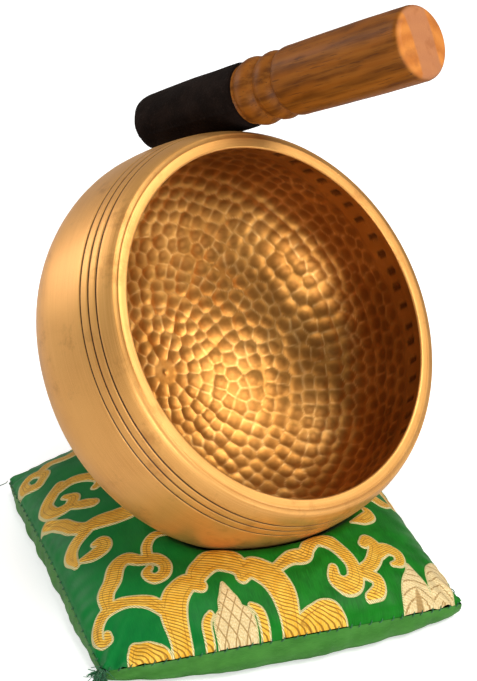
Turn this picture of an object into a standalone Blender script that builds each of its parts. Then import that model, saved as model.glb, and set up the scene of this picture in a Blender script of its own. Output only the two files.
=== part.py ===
"""Singing bowl tipped on a small stuffed cushion, its mallet laid against the wall.

Metres, +Z up, +X to the right and -Y towards the front.  The bowl and the mallet
are turned pieces, drawn as profiles about their own axes.  The cushion is two
fabric shells sewn together round a block of filling, with a dent where the bowl
sits.
"""
import math

import bmesh
import bpy
from mathutils import Euler, Matrix, Vector

# Frame: the middle of the cushion as it stands under the whole object.
CUSHION_MIDDLE = Vector((0.0, 0.0016, 0.0))
FIT_GAP = 0.0003

# Bowl, measured from the lip plane down its axis.
LIP_INNER_RADIUS = 0.0511
LIP_OUTER_RADIUS = 0.0543
BELLY_RADIUS = 0.0600
BELLY_DEPTH = 0.0270
BOWL_HEIGHT = 0.0600
FOOT_RADIUS = 0.0120
INNER_BELLY_RADIUS = 0.0570
INNER_BELLY_DEPTH = 0.0260
INNER_DEPTH = 0.0565
GROOVE_DEPTHS = (0.0058, 0.0087, 0.0118)
GROOVE_HALF_WIDTH = 0.00032
GROOVE_CUT = 0.00035
LIP_ROUND = 0.0004
BOWL_SIDES = 64

# Where the bowl rests.
BOWL_TILT = math.radians(52.3)
BOWL_HEADING = math.radians(-42.7)
LIP_CENTRE = CUSHION_MIDDLE + Vector((0.0142, -0.0039, 0.0809))

# Mallet: its axis runs between two points placed about the bowl's axis.
HANDLE_END_RADIUS = 0.06476
HANDLE_END_ANGLE = math.radians(142.5)
HANDLE_END_HEIGHT = 0.0607
TIP_RADIUS = 0.07145
TIP_ANGLE = math.radians(160.0)
TIP_HEIGHT = -0.0412
HANDLE_LENGTH = 0.0484
COLLAR_LENGTH = 0.0072
SHOULDER_AT = 0.0637
SHANK_END = 0.0995
SHANK_RADIUS = 0.0062
GRIP_END_RADIUS = 0.0108
GRIP_NECK_RADIUS = 0.0101
COLLAR_GROOVE_RADIUS = 0.0088
COLLAR_RADIUS = 0.0100
SLEEVE_START_RADIUS = 0.0095
SLEEVE_TIP_RADIUS = 0.0085
SLEEVE_ROUND_AT = 0.0985
MALLET_LENGTH = 0.1042
DISC_RADIUS = 0.0062
MALLET_SIDES = 36

# Cushion, in its own axes before it is turned on the floor.
HALF_WIDTH = 0.0545
HALF_LENGTH = 0.0525
CUSHION_TURN = math.radians(18.0)
FRONT_BOW = 0.0070
RIGHT_BOW = 0.0070
CORNER_PULL = 0.025
SEAM_HEIGHT = 0.0100
SEAM_CORNER_HEIGHT = 0.0045
CROWN = 0.0180
BROCADE_THICKNESS = 0.0009
SATIN_THICKNESS = 0.0007
FILLING_CORNER_TRIM = 0.0040
FILLING_CLEARANCE = 0.0014
FILLING_EDGE = 0.0004
FLAT_RADIUS = 0.0380
UNDERSIDE_POWER = 8.0
UNDERSIDE_SHARES = (0.97, 0.93, 0.88, 0.80, 0.65, 0.0)
DENT_GAP = 0.0007
DENT_BLEND = 0.0016
CUSHION_CELLS = 22
EDGE_CROWDING = 0.5
SEAM_THREAD_RADIUS = 0.0005
SEAM_THREAD_STEPS = 88
SEAM_THREAD_SIDES = 6
CORNER_MITRE = 1.42

# Frayed ends of the seam thread at the front corner.
TUFT_LENGTH = 0.0070
TUFT_RADIUS = 0.0028
TUFT_RINGS = 9
TUFT_SIDES = 12


def clear_scene():
    for old in list(bpy.data.objects):
        bpy.data.objects.remove(old, do_unlink=True)
    for mesh in list(bpy.data.meshes):
        bpy.data.meshes.remove(mesh)


def make_material(name, colour, roughness, metallic=0.0):
    material = bpy.data.materials.new(name)
    material.use_nodes = True
    shader = material.node_tree.nodes["Principled BSDF"]
    shader.inputs["Base Color"].default_value = (*colour, 1.0)
    shader.inputs["Roughness"].default_value = roughness
    shader.inputs["Metallic"].default_value = metallic
    return material


def finish_object(name, bm, material, placement=None):
    bmesh.ops.recalc_face_normals(bm, faces=bm.faces)
    if bm.calc_volume(signed=True) < 0.0:
        bmesh.ops.reverse_faces(bm, faces=bm.faces)
    mesh = bpy.data.meshes.new(name)
    bm.to_mesh(mesh)
    bm.free()
    mesh.materials.append(material)
    obj = bpy.data.objects.new(name, mesh)
    bpy.context.collection.objects.link(obj)
    if placement is not None:
        obj.matrix_world = placement
    return obj


def turned_solid(profile, sides, placement=None):
    """Spin (radius, height) points about +Z.  A point on the axis becomes a pole."""
    bm = bmesh.new()
    place = placement or Matrix.Identity(4)
    rings = []
    for radius, height in profile:
        if radius == 0.0:
            rings.append([bm.verts.new(place @ Vector((0.0, 0.0, height)))])
            continue
        ring = []
        for step in range(sides):
            angle = 2.0 * math.pi * step / sides
            point = Vector((radius * math.cos(angle), radius * math.sin(angle), height))
            ring.append(bm.verts.new(place @ point))
        rings.append(ring)
    open_ended = profile[0][0] == 0.0
    pairs = list(zip(rings[:-1], rings[1:]))
    if not open_ended:
        pairs.append((rings[-1], rings[0]))
    for lower, upper in pairs:
        join_rings(bm, lower, upper)
    return bm


def join_rings(bm, lower, upper):
    count = max(len(lower), len(upper))
    for step in range(count):
        following = (step + 1) % count
        corners = [lower[step % len(lower)]]
        if len(lower) > 1:
            corners.append(lower[following])
        if len(upper) > 1:
            corners.append(upper[following])
        corners.append(upper[step % len(upper)])
        bm.faces.new(corners)


def outer_radius(depth):
    """Outer radius of the bowl at a depth below its lip."""
    if depth < BELLY_DEPTH:
        share = 1.0 - depth / BELLY_DEPTH
        swell = BELLY_RADIUS - LIP_OUTER_RADIUS
        return LIP_OUTER_RADIUS + swell * math.sqrt(max(0.0, 1.0 - share * share))
    share = (depth - BELLY_DEPTH) / (BOWL_HEIGHT - BELLY_DEPTH)
    return BELLY_RADIUS * math.sqrt(max(0.0, 1.0 - share * share))


def inner_radius(depth):
    """Inner radius of the bowl at a depth below its lip."""
    if depth < INNER_BELLY_DEPTH:
        share = 1.0 - depth / INNER_BELLY_DEPTH
        swell = INNER_BELLY_RADIUS - LIP_INNER_RADIUS
        return LIP_INNER_RADIUS + swell * math.sqrt(max(0.0, 1.0 - share * share))
    share = (depth - INNER_BELLY_DEPTH) / (INNER_DEPTH - INNER_BELLY_DEPTH)
    return INNER_BELLY_RADIUS * math.sqrt(max(0.0, 1.0 - share * share))


def foot_depth():
    share = math.sqrt(1.0 - (FOOT_RADIUS / BELLY_RADIUS) ** 2)
    return BELLY_DEPTH + (BOWL_HEIGHT - BELLY_DEPTH) * share


def bowl_outer_profile():
    """Foot to lip, with the three turned grooves below the lip."""
    depths = []
    lower_steps = 9
    for step in range(lower_steps):
        share = 1.0 - step / lower_steps
        angle = share * math.acos(FOOT_RADIUS / BELLY_RADIUS)
        depths.append(BELLY_DEPTH + (BOWL_HEIGHT - BELLY_DEPTH) * math.sin(angle))
    depths += [BELLY_DEPTH, 0.0205, 0.0155]
    points = [(0.0, -foot_depth())]
    points += [(outer_radius(depth), -depth) for depth in depths]
    for depth in reversed(GROOVE_DEPTHS):
        below = depth + GROOVE_HALF_WIDTH
        above = depth - GROOVE_HALF_WIDTH
        points.append((outer_radius(below), -below))
        points.append((outer_radius(depth) - GROOVE_CUT, -depth))
        points.append((outer_radius(above), -above))
    for depth in (0.0036, 0.0018, 0.0007):
        points.append((outer_radius(depth), -depth))
    points.append((LIP_OUTER_RADIUS - LIP_ROUND, 0.0))
    return points


def bowl_inner_profile():
    """Lip to the middle of the inside."""
    points = [(LIP_INNER_RADIUS + LIP_ROUND, 0.0), (LIP_INNER_RADIUS, -LIP_ROUND)]
    for depth in (0.0020, 0.0050, 0.0100, 0.0170, INNER_BELLY_DEPTH):
        points.append((inner_radius(depth), -depth))
    lower_steps = 9
    for step in range(1, lower_steps):
        angle = 0.5 * math.pi * step / lower_steps
        depth = INNER_BELLY_DEPTH + (INNER_DEPTH - INNER_BELLY_DEPTH) * math.sin(angle)
        points.append((inner_radius(depth), -depth))
    points.append((0.0, -INNER_DEPTH))
    return points


def bowl_placement():
    turn = Euler((0.0, BOWL_TILT, BOWL_HEADING), "XYZ").to_matrix().to_4x4()
    return Matrix.Translation(LIP_CENTRE) @ turn


def make_bowl(material):
    profile = bowl_outer_profile() + bowl_inner_profile()
    bm = turned_solid(profile, BOWL_SIDES)
    return finish_object("bowl", bm, material, bowl_placement())


def about_bowl_axis(radius, angle, height):
    return Vector((radius * math.cos(angle), radius * math.sin(angle), height))


def mallet_placement():
    """Mallet axes inside the bowl's: the handle end is the origin, the tip at -Z."""
    handle_end = about_bowl_axis(HANDLE_END_RADIUS, HANDLE_END_ANGLE, HANDLE_END_HEIGHT)
    tip = about_bowl_axis(TIP_RADIUS, TIP_ANGLE, TIP_HEIGHT)
    turn = (handle_end - tip).to_track_quat("Z", "Y").to_matrix().to_4x4()
    return Matrix.Translation(handle_end) @ turn


def collar_points(start, end):
    """One rounded bead between two turned grooves."""
    points = []
    steps = 5
    for step in range(steps + 1):
        share = step / steps
        rise = math.sin(math.pi * share) ** 0.7
        radius = COLLAR_GROOVE_RADIUS + (COLLAR_RADIUS - COLLAR_GROOVE_RADIUS) * rise
        points.append((radius, -(start + (end - start) * share)))
    return points


def mallet_profile():
    """Handle end to the end of the shank that the suede covers."""
    first_collar_end = HANDLE_LENGTH + COLLAR_LENGTH
    points = [(0.0, 0.0003), (0.0070, 0.0002), (0.0096, -0.0002)]
    points += [(0.0104, -0.0008), (GRIP_END_RADIUS, -0.0020)]
    points += [(0.0107, -0.0200), (0.0103, -0.0380), (GRIP_NECK_RADIUS, -0.0462)]
    points.append((0.0096, -0.0476))
    points += collar_points(HANDLE_LENGTH, first_collar_end)
    points += collar_points(first_collar_end + 0.0001, SHOULDER_AT - 0.0006)
    points.append((COLLAR_GROOVE_RADIUS, -SHOULDER_AT))
    points += [(SHANK_RADIUS, -SHOULDER_AT), (SHANK_RADIUS, -SHANK_END + 0.0006)]
    points += [(SHANK_RADIUS - 0.0006, -SHANK_END), (0.0, -SHANK_END)]
    return points


def sleeve_profile():
    """Suede tube over the shank, rolled in round the tip."""
    bore = SHANK_RADIUS + FIT_GAP
    start = SHOULDER_AT + FIT_GAP
    points = [(bore, -start), (SLEEVE_START_RADIUS - 0.0005, -start)]
    points += [(SLEEVE_START_RADIUS, -start - 0.0006), (0.0094, -0.0760)]
    points.append((0.0089, -0.0900))
    steps = 5
    reach = MALLET_LENGTH - 0.0006 - SLEEVE_ROUND_AT
    fall = SLEEVE_TIP_RADIUS - bore - 0.0004
    for step in range(steps + 1):
        angle = 0.5 * math.pi * step / steps
        radius = SLEEVE_TIP_RADIUS - fall * (1.0 - math.cos(angle))
        points.append((radius, -(SLEEVE_ROUND_AT + reach * math.sin(angle))))
    points.append((bore, -(MALLET_LENGTH - 0.0006)))
    return points


def disc_profile():
    """Round of suede that closes the tip inside the sleeve."""
    near = SHANK_END + FIT_GAP
    return [
        (0.0, -near),
        (DISC_RADIUS, -near),
        (DISC_RADIUS, -(MALLET_LENGTH - 0.0009)),
        (DISC_RADIUS - 0.0008, -(MALLET_LENGTH - 0.0003)),
        (0.0030, -(MALLET_LENGTH - 0.0001)),
        (0.0, -MALLET_LENGTH),
    ]


def make_mallet(wood, suede):
    inside_bowl = mallet_placement()
    pieces = (
        ("mallet_handle", mallet_profile(), wood),
        ("suede_sleeve", sleeve_profile(), suede),
        ("suede_end_disc", disc_profile(), suede),
    )
    for name, profile, material in pieces:
        bm = turned_solid(profile, MALLET_SIDES, inside_bowl)
        finish_object(name, bm, material, bowl_placement())


def inside_bowl_outline(point, to_bowl):
    local = to_bowl @ point
    depth = -local.z
    if depth < 0.0 or depth > foot_depth():
        return False
    return math.hypot(local.x, local.y) < outer_radius(depth)


def bowl_underside(x, y, to_bowl):
    """Height of the bowl's lowest surface above a point of the floor, or None."""
    floor_steps = 60
    reach = 0.075
    previous = 0.0
    for step in range(1, floor_steps + 1):
        height = reach * step / floor_steps
        if inside_bowl_outline(Vector((x, y, height)), to_bowl):
            low, high = previous, height
            for _ in range(20):
                middle = 0.5 * (low + high)
                if inside_bowl_outline(Vector((x, y, middle)), to_bowl):
                    high = middle
                else:
                    low = middle
            return low
        previous = height
    return None


def blend_min(first, second, width):
    share = min(1.0, max(0.0, 0.5 + 0.5 * (second - first) / width))
    return second * (1.0 - share) + first * share - width * share * (1.0 - share)


def cushion_plan(s, t, inset=0.0):
    """Outline of the cushion for s and t from -1 to 1, on the floor."""
    pull = 1.0 - CORNER_PULL * (s * t) ** 4
    x = (HALF_WIDTH - inset) * s * pull
    y = (HALF_LENGTH - inset) * t * pull
    x -= RIGHT_BOW * max(s, 0.0) ** 2 * (1.0 - t * t)
    y -= FRONT_BOW * max(-t, 0.0) ** 2 * (1.0 - s * s)
    cosine = math.cos(CUSHION_TURN)
    sine = math.sin(CUSHION_TURN)
    turned = Vector((x * cosine - y * sine, x * sine + y * cosine, 0.0))
    return CUSHION_MIDDLE + turned


def seam_height(s, t):
    return SEAM_CORNER_HEIGHT + (SEAM_HEIGHT - SEAM_CORNER_HEIGHT) * (1.0 - (s * t) ** 2)


def fullness(s, t):
    return math.sqrt(max(0.0, (1.0 - s * s) * (1.0 - t * t)))


def crowded(share):
    """Even steps drawn closer together towards both edges."""
    return share + EDGE_CROWDING * (math.sin(0.5 * math.pi * share) - share)


def top_height(x, y, s, t, swell, drop, to_bowl):
    """Upper skin height, pressed down under the bowl."""
    free = seam_height(s, t) + (CROWN - drop) * swell
    under = bowl_underside(x, y, to_bowl)
    if under is None or swell <= 0.0:
        return free
    return blend_min(free, under - DENT_GAP - drop, DENT_BLEND)


def grid_layer(bm, inset, height_at, corner_trim=0.0):
    """Square grid of points over the cushion, closer together at the edges."""
    rows = []
    for row in range(CUSHION_CELLS + 1):
        line = []
        for column in range(CUSHION_CELLS + 1):
            s = crowded(2.0 * column / CUSHION_CELLS - 1.0)
            t = crowded(2.0 * row / CUSHION_CELLS - 1.0)
            point = cushion_plan(s, t, inset + corner_trim * (s * t) ** 4)
            point.z = height_at(point.x, point.y, s, t, fullness(s, t))
            line.append(bm.verts.new(point))
        rows.append(line)
    return rows


def fill_grid(bm, rows, upward):
    cells = len(rows) - 1
    for row in range(cells):
        for column in range(cells):
            corners = [rows[row][column], rows[row][column + 1]]
            corners += [rows[row + 1][column + 1], rows[row + 1][column]]
            bm.faces.new(corners if upward else corners[::-1])


def border(rows):
    last = len(rows) - 1
    edge = [rows[0][k] for k in range(last)]
    edge += [rows[k][last] for k in range(last)]
    edge += [rows[last][last - k] for k in range(last)]
    edge += [rows[last - k][0] for k in range(last)]
    return edge


def seam_ring(bm, inset, drop, corner_trim=0.0):
    """Points round the edge in the order of border, at the height of the seam less drop."""
    steps = [crowded(2.0 * k / CUSHION_CELLS - 1.0) for k in range(CUSHION_CELLS)]
    around = [(k, -1.0) for k in steps] + [(1.0, k) for k in steps]
    around += [(-k, 1.0) for k in steps] + [(-1.0, -k) for k in steps]
    ring = []
    for s, t in around:
        point = cushion_plan(s, t, inset + corner_trim * (s * t) ** 4)
        point.z = seam_height(s, t) - drop
        ring.append(bm.verts.new(point))
    return ring


def underside(bm, edge, height):
    """Skin that curls under from an edge and ends in a flat round at the given height."""
    outer = edge
    first = CUSHION_TURN + math.radians(225.0)
    for share in UNDERSIDE_SHARES:
        ring = []
        for step, vertex in enumerate(edge):
            angle = first + 2.0 * math.pi * step / len(edge)
            reach = Vector((math.cos(angle), math.sin(angle), 0.0)) * FLAT_RADIUS
            point = (CUSHION_MIDDLE + reach).lerp(vertex.co, share)
            point.z = height + (vertex.co.z - height) * share**UNDERSIDE_POWER
            ring.append(bm.verts.new(point))
        join_rings(bm, outer, ring)
        outer = ring
    bm.faces.new(outer)


def make_cushion_top(material, to_bowl):
    """Brocade upper shell, open underneath."""
    bm = bmesh.new()
    half_gap = 0.5 * FIT_GAP

    def outer_height(x, y, s, t, swell):
        return half_gap + top_height(x, y, s, t, swell, 0.0, to_bowl)

    def inner_height(x, y, s, t, swell):
        height = top_height(x, y, s, t, swell, BROCADE_THICKNESS, to_bowl)
        return half_gap + height

    outer = grid_layer(bm, 0.0, outer_height)
    inner = grid_layer(bm, BROCADE_THICKNESS, inner_height)
    fill_grid(bm, outer, True)
    fill_grid(bm, inner, False)
    join_rings(bm, border(inner), border(outer))
    return finish_object("cushion_top", bm, material)


def make_cushion_base(material):
    """Satin lower shell, open on top and flat on the floor."""
    bm = bmesh.new()
    outer_edge = seam_ring(bm, 0.0, 0.5 * FIT_GAP)
    inner_edge = seam_ring(bm, BROCADE_THICKNESS, 0.5 * FIT_GAP)
    join_rings(bm, inner_edge, outer_edge)
    underside(bm, outer_edge, 0.0)
    underside(bm, inner_edge, SATIN_THICKNESS)
    return finish_object("cushion_base", bm, material)


def make_filling(material, to_bowl):
    """Block of stuffing inside the two shells."""
    bm = bmesh.new()
    inset = BROCADE_THICKNESS + FILLING_CLEARANCE

    def upper_height(x, y, s, t, swell):
        edge = FILLING_EDGE * (1.0 - swell) ** 3
        return edge + top_height(x, y, s, t, swell, inset, to_bowl)

    upper = grid_layer(bm, inset, upper_height, FILLING_CORNER_TRIM)
    fill_grid(bm, upper, True)
    lower_edge = seam_ring(bm, inset, 0.0, FILLING_CORNER_TRIM)
    join_rings(bm, lower_edge, border(upper))
    underside(bm, lower_edge, SATIN_THICKNESS + FIT_GAP)
    return finish_object("cushion_filling", bm, material)


def seam_point(share):
    """Point of the seam at a share of the way round from the front left corner."""
    side = int(share * 4.0) % 4
    along = 2.0 * (share * 4.0 - int(share * 4.0)) - 1.0
    s, t = ((along, -1.0), (1.0, along), (-along, 1.0), (-1.0, -along))[side]
    point = cushion_plan(s, t)
    point.z = seam_height(s, t)
    return point


def make_seam_thread(material):
    """Cord of thread that runs outside the seam, all the way round."""
    bm = bmesh.new()
    stand_off = SEAM_THREAD_RADIUS + FIT_GAP
    rings = []
    for step in range(SEAM_THREAD_STEPS):
        share = step / SEAM_THREAD_STEPS
        ahead = seam_point((share + 0.004) % 1.0)
        behind = seam_point((share - 0.004) % 1.0)
        tangent = (ahead - behind).normalized()
        outward = tangent.cross(Vector((0.0, 0.0, 1.0))).normalized()
        upward = outward.cross(tangent)
        at_corner = step % (SEAM_THREAD_STEPS // 4) == 0
        reach_out = stand_off * (CORNER_MITRE if at_corner else 1.0)
        centre = seam_point(share) + outward * reach_out
        ring = []
        for side in range(SEAM_THREAD_SIDES):
            angle = 2.0 * math.pi * side / SEAM_THREAD_SIDES
            reach = outward * math.cos(angle) + upward * math.sin(angle)
            ring.append(bm.verts.new(centre + reach * SEAM_THREAD_RADIUS))
        rings.append(ring)
    for lower, upper in zip(rings, rings[1:] + rings[:1]):
        join_rings(bm, lower, upper)
    return finish_object("seam_thread", bm, material)


def make_corner_tuft(material):
    """Loose thread ends, bunched, beyond the front corner of the seam."""
    corner = seam_point(0.0)
    outward = (corner - CUSHION_MIDDLE).to_2d().normalized().to_3d()
    start = corner + outward * (2.0 * CORNER_MITRE * SEAM_THREAD_RADIUS + 3.0 * FIT_GAP)
    profile = [(0.0, 0.0)]
    for ring in range(1, TUFT_RINGS):
        share = ring / TUFT_RINGS
        radius = TUFT_RADIUS * math.sin(math.pi * share) ** 0.6
        profile.append((radius, TUFT_LENGTH * share))
    profile.append((0.0, TUFT_LENGTH))
    turn = outward.to_track_quat("Z", "Y").to_matrix().to_4x4()
    bm = turned_solid(profile, TUFT_SIDES, Matrix.Translation(start) @ turn)
    return finish_object("corner_tuft", bm, material)


def main():
    clear_scene()
    brass = make_material("brass", (0.60, 0.33, 0.11), 0.32, 1.0)
    wood = make_material("wood", (0.33, 0.14, 0.045), 0.55)
    suede = make_material("suede", (0.010, 0.007, 0.005), 0.95)
    brocade = make_material("brocade", (0.01, 0.20, 0.06), 0.55)
    satin = make_material("satin", (0.06, 0.28, 0.09), 0.45)
    wadding = make_material("wadding", (0.80, 0.78, 0.74), 0.95)
    thread = make_material("thread", (0.005, 0.07, 0.03), 0.80)
    to_bowl = bowl_placement().inverted()
    make_bowl(brass)
    make_mallet(wood, suede)
    make_cushion_top(brocade, to_bowl)
    make_cushion_base(satin)
    make_filling(wadding, to_bowl)
    make_seam_thread(thread)
    make_corner_tuft(thread)


main()
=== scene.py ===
"""Looks of a hammered singing bowl with its mallet on a small brocade cushion."""

import math
import random

import bpy
import numpy as np
from mathutils import Euler, Matrix, Vector, kdtree


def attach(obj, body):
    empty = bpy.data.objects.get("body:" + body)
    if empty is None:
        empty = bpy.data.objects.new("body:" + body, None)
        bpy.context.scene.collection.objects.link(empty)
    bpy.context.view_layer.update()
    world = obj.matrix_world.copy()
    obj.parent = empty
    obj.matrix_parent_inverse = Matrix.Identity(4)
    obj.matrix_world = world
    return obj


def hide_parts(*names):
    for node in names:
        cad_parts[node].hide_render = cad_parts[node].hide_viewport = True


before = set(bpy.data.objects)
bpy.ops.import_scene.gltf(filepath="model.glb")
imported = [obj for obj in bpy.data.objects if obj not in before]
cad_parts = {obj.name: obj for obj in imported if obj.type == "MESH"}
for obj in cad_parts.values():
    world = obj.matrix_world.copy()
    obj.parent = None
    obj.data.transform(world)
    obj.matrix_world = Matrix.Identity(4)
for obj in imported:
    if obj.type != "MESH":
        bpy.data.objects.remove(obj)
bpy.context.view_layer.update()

# Shared sizes, in metres
CUSHION_MIDDLE = Vector((0.0, 0.0016, 0.0))
LIP_CENTRE = CUSHION_MIDDLE + Vector((0.0142, -0.0039, 0.0809))
BOWL_TURN = Euler((0.0, math.radians(52.3), math.radians(-42.7)), "XYZ").to_matrix().to_4x4()
BOWL_PLACE = Matrix.Translation(LIP_CENTRE) @ BOWL_TURN
GROOVE_DEPTHS = (0.0058, 0.0087, 0.0118)
GROOVE_CUT = 0.00040
GROOVE_WIDTH = 0.00024
LIP_RADIUS = 0.0543
BELLY_SWELL = 0.0057
BELLY_RADIUS = 0.0600
BELLY_DEPTH = 0.0270
FOOT_RADIUS = 0.012
FOOT_DEPTH = 0.0593
BOWL_HEIGHT = 0.0600
INNER_LIP_RADIUS = 0.0511
INNER_BELLY_SWELL = 0.0059
INNER_BELLY_RADIUS = 0.0570
INNER_BELLY_DEPTH = 0.0260
INNER_DEPTH = 0.0565
HANDLE_LENGTH = 0.0484
COLLAR_LENGTH = 0.0072
SHOULDER_AT = 0.0637
SLEEVE_BORE = 0.0065
SLEEVE_RADIUS = 0.0095
SLEEVE_TIP_RADIUS = 0.0085
SLEEVE_ROUND_AT = 0.0985
HALF_WIDTH = 0.0545
HALF_LENGTH = 0.0525
CORNER_PULL = 0.025
SIDE_HOLLOW = 0.007
CUSHION_TURN = math.radians(18.0)
SEAM_HEIGHT = 0.0100
SEAM_CORNER_HEIGHT = 0.0045
SEAM_ROUND = 0.428
CROWN = 0.0180
DENT_GAP = 0.0008
DENT_BLEND = 0.0016
TOP_CELLS = 300
UNDERSIDE_STEPS = 600
UNDERSIDE_ROWS = 30
BAND_SHARE = 0.60
BAND_TUCK = 0.0040
STITCH_COUNT = 132
STITCH_RADIUS = 0.00016
TUFT_COUNT = 110
TUFT_RADIUS = 0.00013


# ---------------------------------------------------------------- modelling helpers


def deselect():
    bpy.ops.object.select_all(action="DESELECT")


def select_only(obj):
    deselect()
    obj.select_set(True)
    bpy.context.view_layer.objects.active = obj


def smooth(obj, degrees=None):
    select_only(obj)
    if degrees is None:
        bpy.ops.object.shade_smooth()
    else:
        bpy.ops.object.shade_smooth_by_angle(angle=math.radians(degrees))


def points_of(obj):
    co = np.zeros(len(obj.data.vertices) * 3)
    obj.data.vertices.foreach_get("co", co)
    return co.reshape(-1, 3)


def set_points(obj, co):
    obj.data.vertices.foreach_set("co", np.ascontiguousarray(co, float).ravel())
    obj.data.update()


def keep_vector(obj, name, values):
    layer = obj.data.attributes.new(name, "FLOAT_VECTOR", "POINT")
    layer.data.foreach_set("vector", np.ascontiguousarray(values, np.float32).ravel())


def keep_value(obj, name, values):
    layer = obj.data.attributes.new(name, "FLOAT", "POINT")
    layer.data.foreach_set("value", np.ascontiguousarray(values, np.float32))


def turned_piece(name, profile, steps):
    """A line of (radius, height) points, extruded point by point and spun about Z."""
    deselect()
    bpy.ops.mesh.primitive_plane_add(size=0.001, location=(0, 0, 0))
    obj = bpy.context.object
    obj.name = name
    obj.data.name = name
    bpy.ops.object.mode_set(mode="EDIT")
    bpy.ops.mesh.select_all(action="SELECT")
    bpy.ops.mesh.merge(type="CENTER")
    previous = (0.0, 0.0)
    for index, (radius, height) in enumerate(profile):
        step = (radius - previous[0], 0.0, height - previous[1])
        if index == 0:
            bpy.ops.transform.translate(value=step)
        else:
            bpy.ops.mesh.extrude_vertices_move(TRANSFORM_OT_translate={"value": step})
        previous = (radius, height)
    bpy.ops.mesh.select_all(action="SELECT")
    bpy.ops.mesh.spin(steps=steps, angle=2.0 * math.pi, center=(0, 0, 0), axis=(0, 0, 1))
    bpy.ops.mesh.select_all(action="SELECT")
    bpy.ops.mesh.remove_doubles(threshold=1e-6)
    bpy.ops.mesh.normals_make_consistent(inside=False)
    bpy.ops.object.mode_set(mode="OBJECT")
    return obj


def ease(value, low, high):
    """0 at low, 1 at high, smooth between."""
    share = np.clip((value - low) / (high - low), 0.0, 1.0)
    return share * share * (3.0 - 2.0 * share)


# ---------------------------------------------------------------- shader helpers


def new_material(name):
    material = bpy.data.materials.new(name)
    material.use_nodes = True
    tree = material.node_tree
    return material, tree, tree.nodes["Principled BSDF"]


def node(tree, kind, values=None, **settings):
    made = tree.nodes.new(kind)
    for key, value in settings.items():
        setattr(made, key, value)
    for key, value in (values or {}).items():
        made.inputs[key].default_value = value
    return made


def maths(tree, operation, first, second=None, third=None, clamp=False):
    made = tree.nodes.new("ShaderNodeMath")
    made.operation = operation
    made.use_clamp = clamp
    for slot, value in enumerate((first, second, third)):
        if value is None:
            continue
        if isinstance(value, (int, float)):
            made.inputs[slot].default_value = value
        else:
            tree.links.new(value, made.inputs[slot])
    return made.outputs[0]


def mix_colour(tree, share, first, second):
    made = tree.nodes.new("ShaderNodeMix")
    made.data_type = "RGBA"
    for slot, value in (("Factor", share), ("A", first), ("B", second)):
        socket = [s for s in made.inputs if s.name == slot and s.enabled][0]
        if isinstance(value, (int, float)):
            socket.default_value = value
        elif isinstance(value, tuple):
            socket.default_value = (*value, 1.0)
        else:
            tree.links.new(value, socket)
    return [s for s in made.outputs if s.enabled][0]


def steps_between(tree, value, low, high):
    """0 below low, 1 above high, smooth between."""
    made = tree.nodes.new("ShaderNodeMapRange")
    made.interpolation_type = "SMOOTHSTEP"
    tree.links.new(value, made.inputs["Value"])
    made.inputs["From Min"].default_value = low
    made.inputs["From Max"].default_value = high
    return made.outputs["Result"]


def attribute(tree, name, output="Fac"):
    made = tree.nodes.new("ShaderNodeAttribute")
    made.attribute_name = name
    return made.outputs[output]


def noise(tree, vector, scale, detail=3.0, stretch=(1.0, 1.0, 1.0), rough=0.55):
    mapping = node(tree, "ShaderNodeMapping", {"Scale": stretch})
    tree.links.new(vector, mapping.inputs["Vector"])
    made = node(tree, "ShaderNodeTexNoise", {"Scale": scale, "Detail": detail, "Roughness": rough})
    tree.links.new(mapping.outputs[0], made.inputs["Vector"])
    return made.outputs["Fac"]


def settle(shader, values):
    """Sets plain numbers and colours on the inputs of a shader."""
    for name, value in values.items():
        shader.inputs[name].default_value = value


def times(tree, first, second):
    return maths(tree, "MULTIPLY", first, second)


def rest_of(tree, share):
    return maths(tree, "SUBTRACT", 1.0, share)


def two_tone(tree, value, low, high, first, second):
    """The first colour where the value is under low, the second where it is over high."""
    return mix_colour(tree, steps_between(tree, value, low, high), first, second)


def tinted(tree, base, value, low, high, amount, colour):
    """The base with some of a colour laid over it where the value is high."""
    share = times(tree, steps_between(tree, value, low, high), amount)
    return mix_colour(tree, share, base, colour)


def wave(tree, value, length):
    return maths(tree, "SINE", times(tree, value, 2.0 * math.pi / length))


def bump(tree, shader, height, distance, strength):
    made = node(tree, "ShaderNodeBump", {"Distance": distance, "Strength": strength})
    tree.links.new(height, made.inputs["Height"])
    tree.links.new(made.outputs[0], shader.inputs["Normal"])


# ---------------------------------------------------------------- the bowl


def outer_radius(depth):
    if depth < BELLY_DEPTH:
        share = 1.0 - depth / BELLY_DEPTH
        return LIP_RADIUS + BELLY_SWELL * math.sqrt(max(0.0, 1.0 - share**2))
    share = (depth - BELLY_DEPTH) / (BOWL_HEIGHT - BELLY_DEPTH)
    return BELLY_RADIUS * math.sqrt(max(0.0, 1.0 - share * share))


def inner_radius(depth):
    if depth < INNER_BELLY_DEPTH:
        share = 1.0 - depth / INNER_BELLY_DEPTH
        return INNER_LIP_RADIUS + INNER_BELLY_SWELL * math.sqrt(max(0.0, 1.0 - share**2))
    share = (depth - INNER_BELLY_DEPTH) / (INNER_DEPTH - INNER_BELLY_DEPTH)
    return INNER_BELLY_RADIUS * math.sqrt(max(0.0, 1.0 - share * share))


def even_wall(radius_at, deepest, spacing, top):
    """Points of a wall from depth top down to the middle, evenly spaced along it."""
    fine = []
    for step in range(4001):
        angle = 0.5 * math.pi * step / 4000
        depth = top + (deepest - top) * math.sin(angle)
        fine.append((radius_at(depth), depth))
    fine[-1] = (0.0, deepest)
    length = [0.0]
    for (r0, d0), (r1, d1) in zip(fine, fine[1:]):
        length.append(length[-1] + math.hypot(r1 - r0, d1 - d0))
    count = int(round(length[-1] / spacing))
    wanted = [length[-1] * k / count for k in range(count + 1)]
    radii = np.interp(wanted, length, [p[0] for p in fine])
    depths = np.interp(wanted, length, [p[1] for p in fine])
    return list(zip(radii, depths))


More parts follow.
